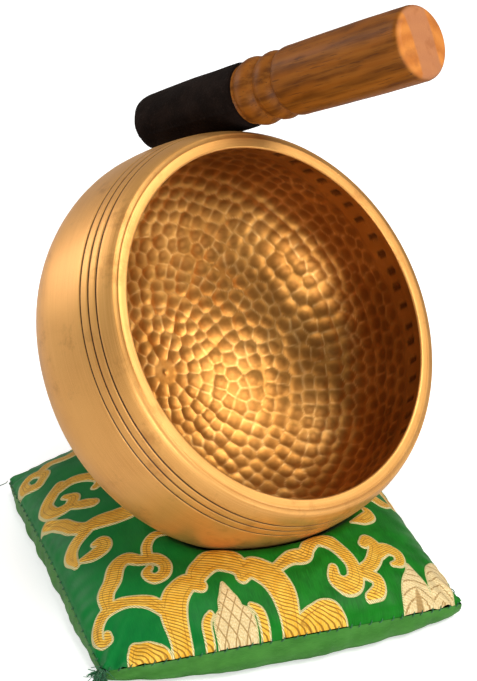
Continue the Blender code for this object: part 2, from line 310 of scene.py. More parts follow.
def groove_cut(depth):
    cut = 0.0
    for groove in GROOVE_DEPTHS:
        cut = max(cut, GROOVE_CUT * math.exp(-(((depth - groove) / GROOVE_WIDTH) ** 2)))
    return cut


def outside_profile():
    # the foot is flat where the round form is FOOT_RADIUS wide
    rounding = math.sqrt(1.0 - (FOOT_RADIUS / BELLY_RADIUS) ** 2)
    foot = BELLY_DEPTH + (BOWL_HEIGHT - BELLY_DEPTH) * rounding
    outer = [p for p in even_wall(outer_radius, BOWL_HEIGHT, 0.0020, 0.0150) if p[1] < foot]
    lip_side = [0.00045]
    while lip_side[-1] < 0.0146:
        near = min(abs(lip_side[-1] - groove) for groove in GROOVE_DEPTHS)
        lip_side.append(lip_side[-1] + (0.00012 if near < 0.0006 else 0.0005))
    points = [(0.0, -foot), (0.006, -foot), (0.0116, -foot)]
    points += [(r, -d) for r, d in reversed(outer)]
    points += [(outer_radius(d) - groove_cut(d), -d) for d in reversed(lip_side)]
    for step in range(7):
        angle = 0.5 * math.pi * step / 6
        points.append((0.0538 + 0.0005 * math.cos(angle), -0.0005 + 0.0005 * math.sin(angle)))
    points += [(0.0527, -0.00002)]
    for step in range(7):
        angle = 0.5 * math.pi * step / 6
        points.append((0.0517 - 0.0006 * math.sin(angle), -0.0006 + 0.0006 * math.cos(angle)))
    return points


def inside_profile():
    points = [(r, -d) for r, d in even_wall(inner_radius, INNER_DEPTH, 0.00043, 0.0006)]
    points[0] = (INNER_LIP_RADIUS, -0.0006)
    points[-1] = (0.0, -INNER_DEPTH)
    return points


def inner_table():
    depths = np.linspace(0.0, INNER_DEPTH, 400)
    return depths, np.array([inner_radius(d) for d in depths])


def hammer_marks():
    """Places, reach and depth of the hammer marks, in rows round the middle of the inside,
    and the number of the first of the pits that ring the hollow under the lip."""
    chance = random.Random(5)
    wall_step = 0.0002
    wall = even_wall(inner_radius, INNER_DEPTH, wall_step, 0.0010)[::-1]
    wall_length = (len(wall) - 1) * wall_step
    pit_row = wall_length - 0.0108
    full_turn = 2.0 * math.pi
    marks = []

    def place(along, angle, reach, depth):
        radius, low = wall[min(len(wall) - 1, max(0, int(along / wall_step)))]
        centre = (radius * math.cos(angle), radius * math.sin(angle), -low)
        marks.append((centre, reach, depth))

    # nine long marks round the centre
    for k in range(9):
        angle = full_turn * (k + chance.uniform(-0.12, 0.12)) / 9
        place(0.0061 + chance.uniform(-0.0002, 0.0002), angle, 0.0030, 0.00034)
    # rows of round marks from there up to the pits
    along = 0.0101
    while along < pit_row - 0.0030:
        radius = wall[int(along / wall_step)][0]
        pitch = 0.0041 if along < 0.02 else 0.0045
        count = max(6, int(round(full_turn * radius / pitch)))
        start = chance.random()
        drift = chance.uniform(0.0, full_turn)
        for k in range(count):
            angle = full_turn * (k + start + chance.uniform(-0.20, 0.20)) / count
            off = chance.uniform(-0.0007, 0.0007) + 0.0006 * math.sin(3.0 * angle + drift)
            reach = pitch * chance.uniform(0.64, 0.80)
            place(along + off, angle, reach, chance.uniform(0.00032, 0.00054))
        along += chance.uniform(0.0038, 0.0043)
    # one row of narrow upright pits, each of four cuts
    first_pit = len(marks)
    pit_count = 62
    for k in range(pit_count):
        angle = full_turn * (k + chance.uniform(-0.12, 0.12)) / pit_count
        shift = chance.uniform(-0.0004, 0.0004)
        for part in (0.0, 0.0008, 0.0016, 0.0024):
            place(pit_row + shift + part, angle, 0.00115, chance.uniform(0.00040, 0.00060))
    return marks, first_pit


def swell_of(co):
    """Slow swells that hand raising leaves in both walls, fading out at the middle."""
    angle = np.arctan2(co[:, 1], co[:, 0])
    depth = -co[:, 2]
    fade = np.clip(np.hypot(co[:, 0], co[:, 1]) / 0.025, 0.0, 1.0) ** 2
    swell = np.sin(angle * 5 + depth * 210.0) + np.sin(angle * 9 - depth * 130.0 + 1.3)
    return 0.00004 * fade * swell * np.clip((depth - 0.014) / 0.004, 0.0, 1.0)


def finish_wall(wall, low, brass):
    """Moves a wall of the bowl along its normals by low, and puts it in its place."""
    normal = np.zeros(len(low) * 3)
    wall.data.vertices.foreach_get("normal", normal)
    co = points_of(wall)
    radius = np.hypot(co[:, 0], co[:, 1])
    # stretched so that noise in it gives fine lines round the axis
    along = (-co[:, 2] - 0.6 * radius) * 85.0
    keep_vector(wall, "turning", np.stack([co[:, 0] * 18.0, co[:, 1] * 18.0, along], 1))
    keep_vector(wall, "metal", co)
    set_points(wall, co + normal.reshape(-1, 3) * low[:, None])
    wall.data.transform(BOWL_PLACE)
    smooth(wall)
    wall.data.materials.append(brass)
    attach(wall, "bowl")
    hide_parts("bowl")


def make_outside(brass):
    wall = turned_piece("bowl_turned_outside", outside_profile(), 360)
    co = points_of(wall)
    depth = -co[:, 2]
    groove = np.array([groove_cut(d) for d in depth]) / GROOVE_CUT
    side = np.hypot(co[:, 0], co[:, 1]) > np.interp(depth, *inner_table()) + 0.0012
    keep_value(wall, "inside", np.zeros(len(co)))
    keep_value(wall, "ridge", np.zeros(len(co)))
    keep_value(wall, "hollow_shade", np.zeros(len(co)))
    keep_value(wall, "groove", groove * side)
    finish_wall(wall, swell_of(co), brass)


def make_inside(brass):
    wall = turned_piece("bowl_hammered_inside", inside_profile(), 440)
    bpy.ops.object.mode_set(mode="EDIT")
    bpy.ops.mesh.select_all(action="SELECT")
    bpy.ops.mesh.normals_make_consistent(inside=True)
    bpy.ops.object.mode_set(mode="OBJECT")
    co = points_of(wall)
    depth = -co[:, 2]
    marks, first_pit = hammer_marks()
    tree = kdtree.KDTree(len(marks))
    for index, (centre, _, _) in enumerate(marks):
        tree.insert(centre, index)
    tree.balance()
    push = np.zeros(len(co))
    ridge = np.zeros(len(co))
    pit = np.zeros(len(co))
    hollow_shade = np.zeros(len(co))
    for index in np.flatnonzero(depth > 0.0012):
        cuts = [0.0, 0.0]
        for _, mark, away in tree.find_n(co[index], 6):
            _, reach, cut = marks[mark]
            cuts.append(cut * (1.0 - (away / reach) ** 2))
            hollow_shade[index] = max(hollow_shade[index], 1.0 - (away / reach) ** 2)
            if mark >= first_pit:
                pit[index] = max(pit[index], min(1.0, 2.2 * (1.0 - (away / reach) ** 2)))
        cuts.sort()
        push[index] = cuts[-1]
        if cuts[-2] > 0.0:
            ridge[index] = max(0.0, 1.0 - (cuts[-1] - cuts[-2]) / 0.00016)
    low = -np.minimum(push, 0.0006)
    ridge *= 1.0 - pit
    hollow_shade *= 1.0 - pit
    # the middle is a small flat round with one centre mark
    middle = np.where(depth > 0.05, np.hypot(co[:, 0], co[:, 1]), 1.0)
    flat = np.clip((0.0041 - middle) / 0.0005, 0.0, 1.0)
    low = low * (1.0 - flat) - 0.00016 * flat
    low -= 0.00030 * np.exp(-((middle / 0.0006) ** 2))
    ridge *= 1.0 - flat
    hollow_shade *= 1.0 - flat
    # the hollow of each mark, where the brass takes painted shade
    keep_value(wall, "hollow_shade", hollow_shade)
    keep_value(wall, "inside", np.ones(len(co)))
    keep_value(wall, "ridge", ridge)
    # the pits share the groove layer; on this side it carries painted shade
    keep_value(wall, "groove", pit)
    finish_wall(wall, low - swell_of(co), brass)


def brass_material():
    material, tree, shader = new_material("brass")
    turning = attribute(tree, "turning", "Vector")
    metal = attribute(tree, "metal", "Vector")
    inside = attribute(tree, "inside")
    ridge = attribute(tree, "ridge")
    hollow_shade = attribute(tree, "hollow_shade")
    groove = attribute(tree, "groove")
    lines = noise(tree, turning, 60.0, 4.0, (0.03, 0.03, 6.0))
    fine_lines = noise(tree, turning, 260.0, 2.0, (0.02, 0.02, 5.0))
    cloud = noise(tree, metal, 42.0, 4.0)
    grain = noise(tree, metal, 900.0, 3.0)
    stain = noise(tree, metal, 75.0, 5.0, rough=0.7)
    # the turned side: cleaner lines, stains, and dark grooves
    outer = two_tone(tree, cloud, 0.35, 0.68, (0.74, 0.335, 0.075), (0.85, 0.42, 0.105))
    outer = two_tone(tree, lines, 0.40, 0.66, outer, (0.92, 0.49, 0.145))
    outer = tinted(tree, outer, stain, 0.52, 0.70, 0.55, (0.50, 0.20, 0.040))
    outer = two_tone(tree, groove, 0.10, 0.60, outer, (0.045, 0.014, 0.003))
    # the hammered side: painted shade, darker than the turned side and darkest in the marks and
    # pits; the ridges between the marks lighter, partly rubbed bright by wear and partly a painted
    # highlight
    # the inside's brass is a darker copy of the turned side's: painted shade inside the bowl
    inner = two_tone(tree, cloud, 0.3, 0.7, (0.42, 0.170, 0.028), (0.62, 0.285, 0.060))
    inner = tinted(tree, inner, stain, 0.50, 0.68, 0.45, (0.70, 0.36, 0.10))
    # painted shade in the hollow of each hammer mark
    inner = tinted(tree, inner, hollow_shade, 0.55, 0.92, 0.60, (0.24, 0.088, 0.014))
    # ridges lighter: partly rubbed bright by wear, partly a painted highlight
    rubbed = maths(tree, "MULTIPLY_ADD", stain, 1.6, -0.35, clamp=True)
    rubbed = times(tree, maths(tree, "POWER", ridge, 1.6), rubbed)
    inner = mix_colour(tree, rubbed, inner, (0.92, 0.56, 0.20))
    # painted shade in the narrow pits under the lip
    inner = mix_colour(tree, times(tree, groove, 0.80), inner, (0.07, 0.020, 0.005))
    colour = mix_colour(tree, inside, outer, inner)
    tree.links.new(colour, shader.inputs["Base Color"])
    metallic = maths(tree, "MULTIPLY_ADD", inside, 0.14, 0.80)
    tree.links.new(metallic, shader.inputs["Metallic"])
    coat = maths(tree, "MULTIPLY_ADD", inside, -0.14, 0.22)
    tree.links.new(coat, shader.inputs["Coat Weight"])
    shader.inputs["Coat Roughness"].default_value = 0.32
    rough_outer = maths(tree, "MULTIPLY_ADD", lines, 0.18, 0.36)
    rough_inner = maths(tree, "MULTIPLY_ADD", grain, 0.14, 0.33)
    gap = maths(tree, "SUBTRACT", rough_inner, rough_outer)
    rough = maths(tree, "MULTIPLY_ADD", gap, inside, rough_outer)
    in_groove = times(tree, groove, rest_of(tree, inside))
    rough = maths(tree, "MULTIPLY_ADD", in_groove, 0.3, rough)
    tree.links.new(rough, shader.inputs["Roughness"])
    height = maths(tree, "ADD", times(tree, fine_lines, 0.6), times(tree, lines, 0.5))
    height = maths(tree, "MULTIPLY_ADD", grain, 0.35, height)
    bump(tree, shader, height, 0.00003, 0.5)
    return material


# ---------------------------------------------------------------- the mallet


def mallet_place():
    def about_axis(radius, angle, height):
        return Vector((radius * math.cos(angle), radius * math.sin(angle), height))

    end = about_axis(0.06476, math.radians(142.5), 0.0607)
    tip = about_axis(0.07145, math.radians(160.0), -0.0412)
    turn = (end - tip).to_track_quat("Z", "Y").to_matrix().to_4x4()
    return BOWL_PLACE @ Matrix.Translation(end) @ turn


def through(points, per_gap):
    """A smooth line through a few (x, y) points."""
    pts = [points[0], *points, points[-1]]
    line = []
    for k in range(1, len(pts) - 2):
        p0, p1, p2, p3 = (np.array(pts[k + j], float) for j in (-1, 0, 1, 2))
        for step in range(per_gap):
            t = step / per_gap
            line.append(
                0.5
                * (
                    2 * p1
                    + (p2 - p0) * t
                    + (2 * p0 - 5 * p1 + 4 * p2 - p3) * t * t
                    + (3 * p1 - p0 - 3 * p2 + p3) * t**3
                )
            )
    line.append(np.array(pts[-2], float))
    return line


def bead(start, end, low, high, steps=14):
    """A turned collar that swells from the low radius to the high one and back."""
    points = []
    for step in range(steps + 1):
        share = step / steps
        radius = low + (high - low) * math.sin(math.pi * share) ** 0.9
        points.append((radius, -(start + (end - start) * share)))
    return points


def handle_profile():
    points = [(0.0, 0.0003), (0.004, 0.00028), (0.0070, 0.0002)]
    for step in range(9):
        angle = 0.5 * math.pi * step / 8
        height = 0.0001 - 0.0021 * (1.0 - math.cos(angle))
        points.append((0.0090 + 0.0018 * math.sin(angle), height))
    grip = [(0.0108, -0.0020), (0.01078, -0.0110), (0.0107, -0.0200), (0.0105, -0.0290)]
    grip += [(0.0103, -0.0380), (0.0101, -0.0462)]
    points += [tuple(p) for p in through(grip, 8)[1:]]
    points += [(0.0099, -0.0470), (0.0096, -0.0476), (0.0091, -0.0481)]
    first_end = HANDLE_LENGTH + COLLAR_LENGTH
    points += bead(HANDLE_LENGTH, first_end, 0.0085, 0.0100)
    points += bead(first_end + 0.0001, SHOULDER_AT - 0.0006, 0.0085, 0.0100)
    points.append((0.0088, -SHOULDER_AT))
    points += [(0.0062, -SHOULDER_AT), (0.0062, -0.0990), (0.0, -0.0995)]
    return points


def sleeve_points():
    start = SHOULDER_AT + 0.0003
    rolled = (SLEEVE_RADIUS, -start - 0.0008)
    points = [(SLEEVE_BORE, -start), (0.0090, -start), (0.00935, -start - 0.0002), rolled]
    side = [rolled, (0.00948, -0.0700), (0.0094, -0.0760), (0.00925, -0.0830)]
    side += [(0.0089, -0.0900), (SLEEVE_TIP_RADIUS, -SLEEVE_ROUND_AT)]
    points += [tuple(p) for p in through(side, 12)[1:]]
    turned_in = SLEEVE_TIP_RADIUS - SLEEVE_BORE - 0.0004
    for step in range(1, 11):
        angle = 0.5 * math.pi * step / 10
        radius = SLEEVE_TIP_RADIUS - turned_in * (1.0 - math.cos(angle))
        points.append((radius, -(SLEEVE_ROUND_AT + 0.0051 * math.sin(angle))))
    points.append((SLEEVE_BORE, -0.1035))
    points.append((SLEEVE_BORE, -start))
    return points


def end_disc_points():
    points = [(0.0, -0.0998), (0.0062, -0.0998), (0.0062, -0.1032)]
    points += [(0.0058, -0.1037), (0.0050, -0.10395), (0.0030, -0.1041), (0.0, -0.1042)]
    return points


def leather_form(radius, angle, height):
    """The sleeve's lumps, and the raised seam where the leather meets itself."""
    seam_angle = math.radians(150)
    turn = np.abs((angle - seam_angle + math.pi) % (2 * math.pi) - math.pi)
    lump = 0.00022 * np.sin(angle * 7 + height * 260)
    lump = lump + 0.00018 * np.sin(angle * 4 - height * 170)
    ridge = 0.0003 * np.exp(-((turn / 0.05) ** 2)) - 0.0004 * np.exp(-((turn / 0.015) ** 2))
    return np.where(radius > SLEEVE_BORE + 0.0003, 0.35 * lump + ridge, 0.0)


def tool_rings(radius, _, height):
    """Fine rings that the turning tool leaves on the grip."""
    return 0.00002 * np.sin(height * 5200) * (radius > 0.0085)


def make_mallet(wood, suede):
    place = mallet_place()
    for name, profile, steps, form, material, slot, cad in (
        ("turned_handle", handle_profile(), 128, tool_rings, wood, "wood", "mallet_handle"),
        ("suede_wrap", sleeve_points(), 160, leather_form, suede, "suede", "suede_sleeve"),
        ("suede_tip", end_disc_points(), 96, None, suede, "suede", "suede_end_disc"),
    ):
        piece = turned_piece(name, profile, steps)
        co = points_of(piece)
        if form:
            angle = np.arctan2(co[:, 1], co[:, 0])
            grow = form(np.hypot(co[:, 0], co[:, 1]), angle, co[:, 2])
            co[:, 0] += grow * np.cos(angle)
            co[:, 1] += grow * np.sin(angle)
        set_points(piece, co)
        keep_vector(piece, "grain", co)
        keep_value(piece, "end_face", ease(co[:, 2], -0.0012, -0.0002))
        piece.data.transform(place)
        smooth(piece, 40)
        piece.data.materials.append(material)
        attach(piece, "mallet")
        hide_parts(cad)


def wood_material():
    material, tree, shader = new_material("wood")
    grain = attribute(tree, "grain", "Vector")
    end_face = attribute(tree, "end_face")
    # year rings about a heart that lies beside the mallet's axis, bent by a slow noise
    warp = node(tree, "ShaderNodeTexNoise", {"Scale": 45.0, "Detail": 2.0})
    tree.links.new(grain, warp.inputs["Vector"])
    bent = node(tree, "ShaderNodeVectorMath", {1: (0.0035, 0.0035, 0.0)}, operation="MULTIPLY")
    tree.links.new(warp.outputs["Color"], bent.inputs[0])
    moved = node(tree, "ShaderNodeVectorMath", operation="ADD")
    tree.links.new(grain, moved.inputs[0])
    tree.links.new(bent.outputs[0], moved.inputs[1])
    heart = {"Location": (0.016, 0.006, 0.0), "Rotation": (0.10, 0.05, 0.0)}
    shifted = node(tree, "ShaderNodeMapping", heart)
    tree.links.new(moved.outputs[0], shifted.inputs["Vector"])
    look = {"Scale": 62.0, "Distortion": 3.4, "Detail": 3.0, "Detail Scale": 1.4}
    rings = node(tree, "ShaderNodeTexWave", look, wave_type="RINGS", rings_direction="Z")
    tree.links.new(shifted.outputs[0], rings.inputs["Vector"])
    year = rings.outputs["Fac"]
    streaks = noise(tree, grain, 700.0, 3.0, (1.0, 1.0, 0.05))
    broad = noise(tree, grain, 150.0, 3.0, (1.0, 1.0, 0.10))
    pores = noise(tree, grain, 2400.0, 2.0, (1.0, 1.0, 0.06))
    side = mix_colour(tree, year, (0.140, 0.039, 0.003), (0.28, 0.083, 0.007))
    side = tinted(tree, side, streaks, 0.38, 0.66, 0.6, (0.33, 0.113, 0.013))
    side = tinted(tree, side, broad, 0.50, 0.66, 0.45, (0.105, 0.027, 0.003))
    side = tinted(tree, side, pores, 0.60, 0.70, 0.5, (0.05, 0.014, 0.005))
    # the cut end is paler, with one duller stripe across it
    cut = mix_colour(tree, year, (0.52, 0.165, 0.030), (0.66, 0.235, 0.045))
    flat = node(tree, "ShaderNodeSeparateXYZ")
    tree.links.new(moved.outputs[0], flat.inputs[0])
    across = maths(tree, "MULTIPLY_ADD", flat.outputs[1], -1.12, flat.outputs[0])
    past_one_edge = steps_between(tree, across, -0.0080, -0.0064)
    stripe = times(tree, past_one_edge, steps_between(tree, across, 0.0080, 0.0064))
    cut = mix_colour(tree, times(tree, stripe, 0.85), cut, (0.46, 0.185, 0.080))
    cut = tinted(tree, cut, broad, 0.52, 0.66, 0.4, (0.33, 0.10, 0.028))
    tree.links.new(mix_colour(tree, end_face, side, cut), shader.inputs["Base Color"])
    rough = maths(tree, "MULTIPLY_ADD", streaks, 0.18, 0.42)
    tree.links.new(rough, shader.inputs["Roughness"])
    settle(shader, {"Specular IOR Level": 0.12, "Coat Weight": 0.06, "Coat Roughness": 0.30})
    open_pores = steps_between(tree, pores, 0.58, 0.70)
    height = maths(tree, "SUBTRACT", times(tree, streaks, 0.7), open_pores)
    bump(tree, shader, height, 0.00008, 0.6)
    return material


def suede_material():
    material, tree, shader = new_material("suede")
    grain = attribute(tree, "grain", "Vector")
    nap = noise(tree, grain, 1500.0, 4.0, rough=0.7)
    patch = noise(tree, grain, 170.0, 3.0)
    rubbed = noise(tree, grain, 420.0, 3.0)
    dark, brown = (0.0065, 0.0035, 0.0025), (0.015, 0.0085, 0.0062)
    colour = two_tone(tree, patch, 0.35, 0.72, dark, brown)
    colour = tinted(tree, colour, nap, 0.55, 0.75, 0.7, (0.034, 0.021, 0.016))
    tree.links.new(colour, shader.inputs["Base Color"])
    settle(
        shader,
        {
            "Roughness": 0.95,
            "Specular IOR Level": 0.05,
            "Sheen Weight": 0.06,
            "Sheen Roughness": 0.5,
            "Sheen Tint": (0.40, 0.33, 0.30, 1.0),
        },
    )
    height = maths(tree, "MULTIPLY_ADD", rubbed, 0.8, nap)
    bump(tree, shader, height, 0.00045, 0.9)
    return material


# ---------------------------------------------------------------- the cushion's form


def plan(s, t):
    """Cushion outline in its own two directions, for s and t from -1 to 1."""
    pull = 1.0 - CORNER_PULL * (s * t) ** 4
    across = HALF_WIDTH * s * pull - SIDE_HOLLOW * np.maximum(s, 0.0) ** 2 * (1.0 - t * t)
    along = HALF_LENGTH * t * pull - SIDE_HOLLOW * np.maximum(-t, 0.0) ** 2 * (1.0 - s * s)
    return across, along


def turned_plan(across, along):
    cosine, sine = math.cos(CUSHION_TURN), math.sin(CUSHION_TURN)
    x = CUSHION_MIDDLE.x + across * cosine - along * sine
    y = CUSHION_MIDDLE.y + across * sine + along * cosine
    return x, y


def seam_height(s, t):
    return SEAM_CORNER_HEIGHT + (SEAM_HEIGHT - SEAM_CORNER_HEIGHT) * (1.0 - (s * t) ** 2)


def inside_bowl(x, y, z):
    """True where a point lies in the outer form of the bowl."""
    back = np.array(BOWL_PLACE.inverted())
    lx = back[0, 0] * x + back[0, 1] * y + back[0, 2] * z + back[0, 3]
    ly = back[1, 0] * x + back[1, 1] * y + back[1, 2] * z + back[1, 3]
    depth = -(back[2, 0] * x + back[2, 1] * y + back[2, 2] * z + back[2, 3])
    upper = np.clip(1.0 - depth / BELLY_DEPTH, 0.0, 1.0)
    lower = np.clip((depth - BELLY_DEPTH) / (BOWL_HEIGHT - BELLY_DEPTH), 0.0, 1.0)
    wall = np.where(
        depth < BELLY_DEPTH,
        LIP_RADIUS + BELLY_SWELL * np.sqrt(1.0 - upper**2),
        BELLY_RADIUS * np.sqrt(1.0 - lower**2),
    )
    return (depth > 0.0) & (depth < FOOT_DEPTH) & (np.hypot(lx, ly) < wall)


def under_bowl(x, y):
    """Height of the bowl's lowest surface over points of the floor, 1 where there is none."""
    low = np.zeros_like(x)
    high = np.full_like(x, 1.0)
    found = np.zeros(x.shape, bool)
    top, count = 0.075, 60
    for step in range(1, count + 1):
        z = top * step / count
        hit = inside_bowl(x, y, z) & ~found
        high[hit] = z
        low[hit] = z - top / count
        found |= hit
    for _ in range(14):
        middle = 0.5 * (low + high)
        hit = inside_bowl(x, y, middle)
        high = np.where(found & hit, middle, high)
        low = np.where(found & ~hit, middle, low)
    return np.where(found, low, 1.0)


def waves(x, y, size, seed):
    """Soft uneven swells, about -1 to 1, with a given size across."""
    chance = random.Random(seed)
    total = np.zeros_like(x)
    for _ in range(9):
        turn = chance.uniform(0.0, 2.0 * math.pi)
        step = 2.0 * math.pi / (size * chance.uniform(0.7, 1.5))
        shift = chance.uniform(0.0, 2.0 * math.pi)
        total += np.sin((x * math.cos(turn) + y * math.sin(turn)) * step + shift)
    return total / 4.5


def along_edge(s, t):
    """Distance to the nearest side, and the place along it, in metres."""
    to_side = (1.0 - np.abs(s)) * HALF_WIDTH
    to_end = (1.0 - np.abs(t)) * HALF_LENGTH
    near_side = to_side < to_end
    away = np.where(near_side, to_side, to_end)
    # the four sides start far apart, so that no two have the same gathers
    side_place = t * HALF_LENGTH + 0.3 * np.sign(s)
    end_place = s * HALF_WIDTH + 0.7 * np.sign(t)
    return away, np.where(near_side, side_place, end_place)


def puckers(away, place):
    """Small gathers that the stitches pull into the cloth next to the seam."""
    even = np.sin(place * 2.0 * math.pi / 0.0052 + 1.4 * np.sin(place * 190.0))
    uneven = np.sin(place * 2.0 * math.pi / 0.0118 + 2.0 * np.sin(place * 71.0))
    return (0.55 * even + 0.75 * uneven) * np.exp(-away / 0.0045)


def top_form(s, t):
    """Points of the brocade without its thread work."""
    across, along = plan(s, t)
    x, y = turned_plan(across, along)
    full = np.sqrt(np.maximum(0.0, (1.0 - s * s) * (1.0 - t * t)))
    away, place = along_edge(s, t)
    free = seam_height(s, t) + CROWN * full
    free += 0.00050 * waves(across, along, 0.030, 3) * np.minimum(1.0, full * 2.5)
    free += 0.00016 * waves(across, along, 0.011, 4) * np.minimum(1.0, full * 2.5)
    free += 0.00036 * puckers(away, place) * np.minimum(1.0, away / 0.0010)
    # folds that run in from the corners where the filling is thin
    corner = np.minimum(1.0, (np.abs(s * t)) ** 6)
    round_corner = across * np.sign(s) - along * np.sign(t)
    free += 0.0010 * corner * np.sin(round_corner * 900.0)
    pressed = under_bowl(x, y) - DENT_GAP
    share = np.clip(0.5 + 0.5 * (pressed - free) / DENT_BLEND, 0.0, 1.0)
    z = pressed * (1.0 - share) + free * share - DENT_BLEND * share * (1.0 - share)
    z = np.maximum(z, 0.0012)
    # the cloth rises in a soft roll round the bowl that presses it
    rise = np.exp(-(((pressed - free) - 0.003) / 0.0032) ** 2) * (pressed > free)
    z = z + 0.0006 * rise
    return x, y, np.minimum(z, pressed), away


# ---------------------------------------------------------------- the thread work


class Shape:
    """One run of thread work: a line with a half width at each point, in millimetres."""

    def __init__(self, line, widths, pale=0.0):
        points = np.array(line, float)
        half = np.array(widths, float)
        if len(half) < len(points):
            half = np.interp(np.linspace(0, 1, len(points)), np.linspace(0, 1, len(half)), half)
        rows = np.column_stack([points, half])
        fine = np.array(through([tuple(r) for r in rows], 16)) if len(rows) > 1 else rows
        self.line = fine[:, :2]
        self.half = np.maximum(fine[:, 2], 0.05)
        steps = np.hypot(*np.diff(self.line, axis=0).T) if len(fine) > 1 else np.zeros(0)
        self.run = np.concatenate([[0.0], np.cumsum(steps)])
        self.pale = pale

    def mirrored(self, across=False):
        copy = Shape.__new__(Shape)
        flip = (-1.0, 1.0) if across else (1.0, -1.0)
        copy.line = self.line * np.array(flip)
        copy.half, copy.run, copy.pale = self.half, self.run, self.pale
        return copy


def arch_and_bud():
    """A three-lobed arch over a pale bud, the middle of the pattern."""
    middle = -16
    half_arch = [(-15.4, -57), (-15.6, -50), (-15.5, -44.7), (-13.4, -40.2)]
    half_arch += [(-9.1, -37.4), (-6.0, -39.2)]
    half_petal = [(3.2, -47.6), (3.4, -50.2), (2.6, -57)]
    half_stem = [(5.8, -46.6), (7.8, -49.2), (7.6, -57)]

    def pair(half, widths, pale=0.0):
        return [
            Shape([(middle + x * side, y) for x, y in half], widths, pale) for side in (-1, 1)
        ]

    shapes = pair(half_arch, (2.6, 2.8, 3.5, 3.4, 2.6, 1.7))
    top = [(-22.5, -38.9), (-21.6, -35.4), (-16.1, -32.8), (-10.7, -35.4), (-9.7, -38.9)]
    shapes.append(Shape(top, (1.5, 2.8, 3.1, 2.8, 1.5)))
    bud = [(middle, y) for y in (-39.8, -43.5, -47, -57)]
    shapes.append(Shape(bud, (0.2, 1.9, 3.1, 2.2), 1.0))
    petals = pair(half_petal, (1.2, 2.2, 2.0), 1.0)
    stems = pair(half_stem, (0.7, 1.15, 1.0))
    for petal, stem in zip(petals, stems):
        shapes += [petal, stem]
    return shapes


def front_right():
    """Scrolls to the right of the arch."""
    hook = [(0.5, -38.6), (5.0, -36.9), (9.4, -36.7), (11.6, -34.5), (14.8, -32.9), (18.8, -34.0)]
    hook += [(21.4, -37.2), (22.7, -41.2), (21.6, -45.2), (18.2, -46.2), (15.8, -44.2)]
    hook += [(16.4, -41.4)]
    knob = [(24.2, -42.8), (28.4, -41.4), (31.4, -38.4), (32.9, -35.2), (31.6, -33.2)]
    knob += [(29.6, -34.4)]
    curl = [(32.6, -37.6), (36.2, -36.2), (39.2, -38.0), (38.6, -40.8), (35.8, -41.6)]
    near_leaf = [(41.0, -41.4), (40.6, -45.0), (39.6, -50.0), (38.5, -57.0)]
    far_leaf = [(54.5, -40.0), (50.6, -43.4), (48.8, -48.0), (46.5, -56.0)]
    return [
        Shape(hook, (1.3, 1.6, 1.8, 1.7, 1.6, 2.0, 2.1, 2.0, 2.3, 2.2, 1.9, 1.2)),
        Shape(knob, (1.2, 1.9, 2.1, 2.0, 1.9, 1.5)),
        Shape(curl, (2.2, 2.0, 1.8, 1.4, 0.7)),
        Shape([(24.6, -43.6), (28.2, -45.4), (27.7, -48.2), (24.0, -49.2)], (1.3, 1.7, 1.7, 0.9)),
        Shape([(-1.6, -51.9), (4.5, -51.6), (10.5, -51.8), (13.6, -54.0)], (0.3, 1.9, 3.4, 2.6)),
        Shape([(9.0, -55.0), (12.5, -56.0)], (3.6, 3.2)),
        Shape(near_leaf, (0.2, 2.0, 4.6, 5.4), 2.0),
        Shape(far_leaf, (1.8, 3.4, 3.9, 3.6), 2.0),
        Shape([(29.0, -27.0), (33.6, -25.6), (37.4, -23.4), (36.4, -21.2)], (0.3, 1.5, 1.7, 0.7)),
    ]


def front_left():
    """Branch, ripple and scroll to the left of the arch."""
    branch = [(-33.2, -43.8), (-36.4, -39.6), (-40.4, -37.4), (-44.6, -36.4), (-49.2, -37.4)]
    branch += [(-52.0, -41.0), (-52.4, -44.6), (-50.4, -45.2), (-50.0, -43.4)]
    ripple = [(-47.4, -36.0), (-46.6, -31.6), (-43.8, -28.4), (-41.4, -24.4), (-38.2, -23.0)]
    ripple += [(-34.6, -25.2), (-31.0, -26.4), (-29.0, -29.3), (-30.0, -32.3), (-33.0, -32.9)]
    ripple += [(-34.6, -30.6), (-33.2, -29.0)]
    crest = [(-32.4, -25.2), (-31.6, -21.4), (-28.8, -18.9), (-24.0, -18.6)]
    return [
        Shape(branch, (1.7, 1.8, 1.6, 1.7, 1.6, 1.4, 1.2, 1.2, 1.0)),
        Shape(ripple, (1.5, 2.2, 2.4, 2.3, 2.0, 1.7, 1.8, 1.7, 1.6, 1.4, 1.2, 0.9)),
        Shape(crest, (1.3, 1.3, 1.1, 0.8)),
        Shape([(-40.5, -55.5), (-41.5, -53.5), (-43.5, -52.5)], (4.0, 4.2, 3.4)),
        Shape([(-44.0, -50.6), (-38.5, -52.0), (-33.0, -54.4)], (2.0, 1.9, 0.4)),
    ]


